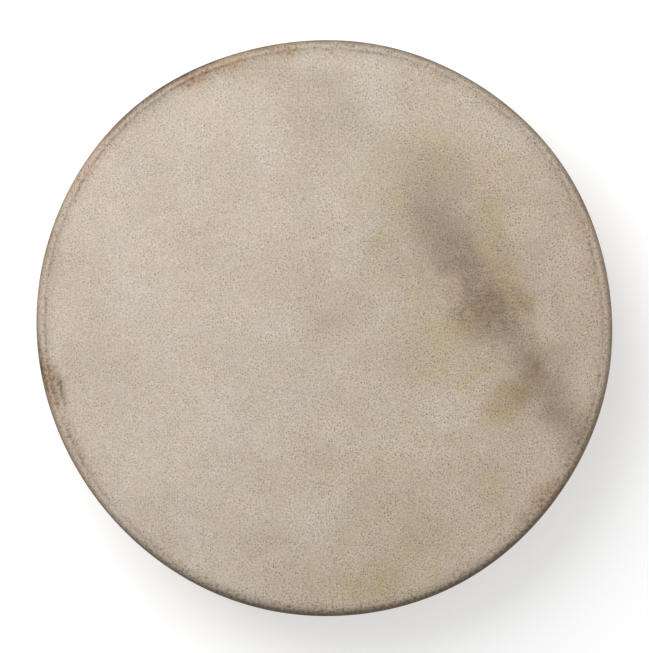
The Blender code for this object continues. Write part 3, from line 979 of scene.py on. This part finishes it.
def make_lacing(settings):
    """One flat lace with soft edges: a grid with a column for each station, rolled round its section."""
    route = lace_route(settings)
    section = [(1, 0.55), (0.86, 1), (0, 1.08), (-0.86, 1), (-1, 0.55)]
    section += [(-across, -out) for across, out in section]
    mesh = bmesh.new()
    bmesh.ops.create_grid(mesh, x_segments=len(route), y_segments=len(section), size=0.5)
    place_of = mesh.verts.layers.float_vector.new("lace_place")
    edge_of = mesh.verts.layers.float.new("lace_edge")
    travelled = [0.0]
    for before, after in zip(route, route[1:]):
        travelled.append(travelled[-1] + (after[0] - before[0]).length)
    for corner in mesh.verts:
        station = round((corner.co.x + 0.5) * len(route)) % len(route)
        across, out = section[round((corner.co.y + 0.5) * len(section)) % len(section)]
        centre, normal, width = route[station]
        along = travelled[station]
        fuller = 1.0 + 0.07 * noise.noise(Vector((along * 60.0, 0.0, 3.0 + across)))
        corner[place_of] = (along, across * LACE_WIDTH / 2, out * LACE_THICKNESS / 2)
        corner[edge_of] = abs(across)
        sideways = width * (across * fuller * LACE_WIDTH / 2)
        corner.co = centre + sideways + normal * (out / 1.08 * LACE_THICKNESS / 2)
    bmesh.ops.remove_doubles(mesh, verts=mesh.verts, dist=1e-7)
    return finished("rawhide_lacing", mesh, lace_rawhide(settings), ["lacing"])


# Stage


def area_light(name, place, size, power, colour):
    """A soft square light that looks at the drum's middle."""
    data = bpy.data.lights.new(name, "AREA")
    data.size = size
    data.energy = power
    data.color = colour
    light = bpy.data.objects.new(name, data)
    bpy.context.scene.collection.objects.link(light)
    light.location = place
    light.rotation_euler = (-Vector(place)).to_track_quat("-Z", "Y").to_euler()
    return light


def make_stage(settings):
    """A plain pale floor, soft light from the upper left and a camera looking straight down on the drum."""
    mesh = bmesh.new()
    bmesh.ops.create_circle(mesh, cap_ends=True, segments=96, radius=settings.floor_radius)
    data = bpy.data.meshes.new("floor")
    mesh.to_mesh(data)
    mesh.free()
    data.materials.append(floor_finish(settings))
    floor = bpy.data.objects.new("floor", data)
    bpy.context.scene.collection.objects.link(floor)

    direction = math.radians(settings.key_direction)
    rise = math.radians(settings.key_height)
    level = Vector((math.cos(direction), math.sin(direction), 0.0)) * math.cos(rise)
    place = (level + Vector((0.0, 0.0, math.sin(rise)))) * settings.key_distance
    area_light("key", place, settings.key_size, settings.key_power, (1.0, 0.985, 0.96))

    world = bpy.data.worlds.new("studio")
    world.use_nodes = True
    world.node_tree.nodes["Background"].inputs["Color"].default_value = (0.97, 0.985, 1.0, 1.0)
    world.node_tree.nodes["Background"].inputs["Strength"].default_value = settings.room_light
    scene = bpy.context.scene
    scene.world = world
    scene.view_settings.view_transform = "Standard"

    camera = bpy.data.objects.new("camera", bpy.data.cameras.new("camera"))
    scene.collection.objects.link(camera)
    camera.data.lens = settings.lens
    pixels_to_lens = max(PHOTO_WIDTH, PHOTO_HEIGHT) / camera.data.sensor_width * settings.lens
    above_rim = pixels_to_lens * DRUM_RADIUS / DRUM_RADIUS_IN_PHOTO
    up = DRUM_BELOW_MIDDLE_IN_PHOTO * DRUM_RADIUS / DRUM_RADIUS_IN_PHOTO
    camera.location = (0.0, up, DRUM_DEPTH - SHOULDER_RADIUS + above_rim)
    scene.camera = camera
    return floor


def length(name, description, default, low, high):
    """A length that a user can change, in metres."""
    return FloatProperty(
        name=name,
        description=description,
        default=default,
        min=low,
        max=high,
        unit="LENGTH",
        precision=5,
    )


def colour_choice(name, description, default):
    """A colour that a user can change."""
    return FloatVectorProperty(
        name=name,
        description=description,
        default=default,
        size=3,
        min=0.0,
        max=1.0,
        subtype="COLOR",
    )


class DrumHeadSettings(PropertyGroup):
    """What a user can change on the rawhide head."""

    pale_hide: colour_choice("Pale hide", "The hide's lighter patches", tone(201, 188, 171))
    tan_hide: colour_choice("Tan hide", "The hide's darker patches", tone(188, 173, 154))
    olive_tint: colour_choice("Olive tint", "The hide's yellow-green patches", tone(186, 170, 133))
    cool_tint: colour_choice("Cool tint", "The hide's bluish grey patches", tone(200, 194, 184))
    pink_tint: colour_choice("Pink tint", "The hide's pinkish patches", tone(202, 179, 163))
    handled_hide: colour_choice("Handled hide", "The band round the crease", tone(160, 142, 121))
    # Painted shade over the shoulder
    shaded_shoulder_hide: colour_choice("Edge hide", "The hide on the shoulder and the back edge", tone(108, 90, 71))
    # Painted shade with some dirt, on the rim at the lower right
    rim_shade_dirt_hide: colour_choice("Grimy hide", "The dirty rim at the lower right", tone(80, 64, 49))
    # Painted shade for the crease and the outer edge, and the colour of the rim's dirt flecks
    shade_and_fleck_hide: colour_choice("Crease", "The line where the hide leaves the hoop", tone(92, 74, 58))
    side_hide: colour_choice("Side hide", "The hide down the side", tone(186, 163, 128))
    pull_hide: colour_choice("Pull lines", "The lines drawn down the side by the lace", tone(140, 112, 78))
    flesh_hide: colour_choice("Flesh side", "The hide's inner face", tone(196, 178, 146))
    follicle_tone: colour_choice("Follicles", "The dots where the hair grew", tone(92, 74, 58))
    follicle_spacing: length(
        "Follicle spacing", "From one hair follicle to the next", 1.85 * MM, 0.5 * MM, 8 * MM
    )
    follicle_depth: FloatProperty(
        name="Follicle darkness",
        description="How much darker a follicle is than the hide round it",
        default=0.78,
        min=0.0,
        max=1.0,
        subtype="FACTOR",
    )
    stain_warp: length(
        "Stain raggedness", "How far a stain's edge strays from an oval", 16 * MM, 0.0, 60 * MM
    )
    face_unevenness: length("Face unevenness", "How far the face rises and dips", 0.22 * MM, 0.0, 2 * MM)
    tuck_depth: length(
        "Tuck depth", "How far the side's tucks stand out near the back", 1.7 * MM, 0.0, 3 * MM
    )
    flap_curl: length(
        "Flap curl", "How far the flap's edge curls in between the slits", 3.2 * MM, 0.0, 10 * MM
    )


class DrumFrameSettings(PropertyGroup):
    """What a user can change on the hoop and the grip ring."""

    pale_wood: colour_choice("Pale wood", "The hoop's early wood", tone(196, 160, 112))
    dark_wood: colour_choice("Dark wood", "The hoop's late wood", tone(150, 108, 66))
    pale_grip: colour_choice("Pale grip", "The grip ring's lighter wood", tone(128, 88, 56))
    dark_grip: colour_choice("Dark grip", "The grip ring's darker wood", tone(82, 52, 32))
    hoop_unevenness: length(
        "Hoop unevenness", "How far the hoop's inner face was shaved", 0.18 * MM, 0.0, 1 * MM
    )
    ring_whittling: FloatProperty(
        name="Whittling",
        description="How much the grip ring's section wavers",
        default=0.05,
        min=0.0,
        max=0.3,
        subtype="FACTOR",
    )


class DrumLaceSettings(PropertyGroup):
    """What a user can change on the lacing."""

    pale_lace: colour_choice("Pale lace", "The lace's lighter stretches", tone(186, 158, 112))
    dark_lace: colour_choice("Dark lace", "The lace's darker stretches", tone(150, 116, 72))
    cut_lace: colour_choice("Cut edge", "The lace's cut edges", tone(206, 186, 148))
    lace_twist: FloatProperty(
        name="Lace twist",
        description="How far a leg of the lace turns over along its run",
        default=math.radians(14.0),
        min=0.0,
        max=math.radians(90.0),
        subtype="ANGLE",
    )


class DrumStageSettings(PropertyGroup):
    """What a user can change about the floor, the light and the camera."""

    floor_colour: colour_choice("Floor", "The floor's colour", (0.93, 0.93, 0.93))
    floor_shade: colour_choice("Floor shade", "The floor's slightly darker patches", (0.90, 0.90, 0.90))
    floor_glow: FloatProperty(name="Floor glow", description="How far the floor lights itself", default=0.24)
    floor_radius: length("Floor radius", "How far the floor reaches", 8.0, 1.0, 50.0)
    lens: IntProperty(name="Lens", description="The camera's lens in mm", default=100, min=20, max=300)
    key_direction: FloatProperty(
        name="Key direction", description="Where the key light stands", default=128.0
    )
    key_height: FloatProperty(
        name="Key height", description="The key light's angle over the floor", default=48.0
    )
    key_distance: length("Key distance", "From the drum to the key light", 1.5, 0.3, 10.0)
    key_size: length("Key size", "The key light's side", 1.1, 0.05, 5.0)
    key_power: FloatProperty(
        name="Key power", description="The key light's power", default=13.3, unit="POWER"
    )
    room_light: FloatProperty(name="Room light", description="How bright the room is all round", default=0.62)


class DRUM_OT_make_head(Operator):
    """Make the rawhide head, its crease, shoulder, side and slit flap"""

    bl_idname = "drum.make_head"
    bl_label = "Make Head"

    def execute(self, context):
        make_head(context.scene.drum_head)
        return {"FINISHED"}


class DRUM_OT_make_hoop(Operator):
    """Make the bent wooden hoop under the hide"""

    bl_idname = "drum.make_hoop"
    bl_label = "Make Hoop"

    def execute(self, context):
        make_hoop(context.scene.drum_frame)
        return {"FINISHED"}


class DRUM_OT_make_ring(Operator):
    """Make the wooden grip ring in the middle of the back"""

    bl_idname = "drum.make_ring"
    bl_label = "Make Grip Ring"

    def execute(self, context):
        make_ring(context.scene.drum_frame)
        return {"FINISHED"}


class DRUM_OT_make_lacing(Operator):
    """Make the rawhide lace that pulls the hide towards the grip ring"""

    bl_idname = "drum.make_lacing"
    bl_label = "Make Lacing"

    def execute(self, context):
        make_lacing(context.scene.drum_lace)
        return {"FINISHED"}


class DRUM_OT_make_stage(Operator):
    """Make the floor, the lights and the camera"""

    bl_idname = "drum.make_stage"
    bl_label = "Make Stage"

    def execute(self, context):
        make_stage(context.scene.drum_stage)
        return {"FINISHED"}


OPERATORS = (
    DRUM_OT_make_head,
    DRUM_OT_make_hoop,
    DRUM_OT_make_ring,
    DRUM_OT_make_lacing,
    DRUM_OT_make_stage,
)


class DRUM_PT_panel(Panel):
    """The drum's operators in the sidebar"""

    bl_idname = "DRUM_PT_panel"
    bl_label = "Frame Drum"
    bl_space_type = "VIEW_3D"
    bl_region_type = "UI"
    bl_category = "Drum"

    def draw(self, context):
        for operator in OPERATORS:
            self.layout.operator(operator.bl_idname)


SETTINGS = {
    "drum_head": DrumHeadSettings,
    "drum_frame": DrumFrameSettings,
    "drum_lace": DrumLaceSettings,
    "drum_stage": DrumStageSettings,
}


def register():
    """Registers the classes and puts their settings on the scene."""
    for made in (*SETTINGS.values(), *OPERATORS, DRUM_PT_panel):
        bpy.utils.register_class(made)
    for name, group in SETTINGS.items():
        setattr(bpy.types.Scene, name, PointerProperty(type=group))


def unregister():
    """Takes the settings and the classes away again."""
    for name in SETTINGS:
        delattr(bpy.types.Scene, name)
    for made in reversed((*SETTINGS.values(), *OPERATORS, DRUM_PT_panel)):
        bpy.utils.unregister_class(made)


def main():
    """Makes every piece and the stage."""
    register()
    bpy.ops.drum.make_head()
    bpy.ops.drum.make_hoop()
    bpy.ops.drum.make_ring()
    bpy.ops.drum.make_lacing()
    bpy.ops.drum.make_stage()


if __name__ == "__main__":
    main()
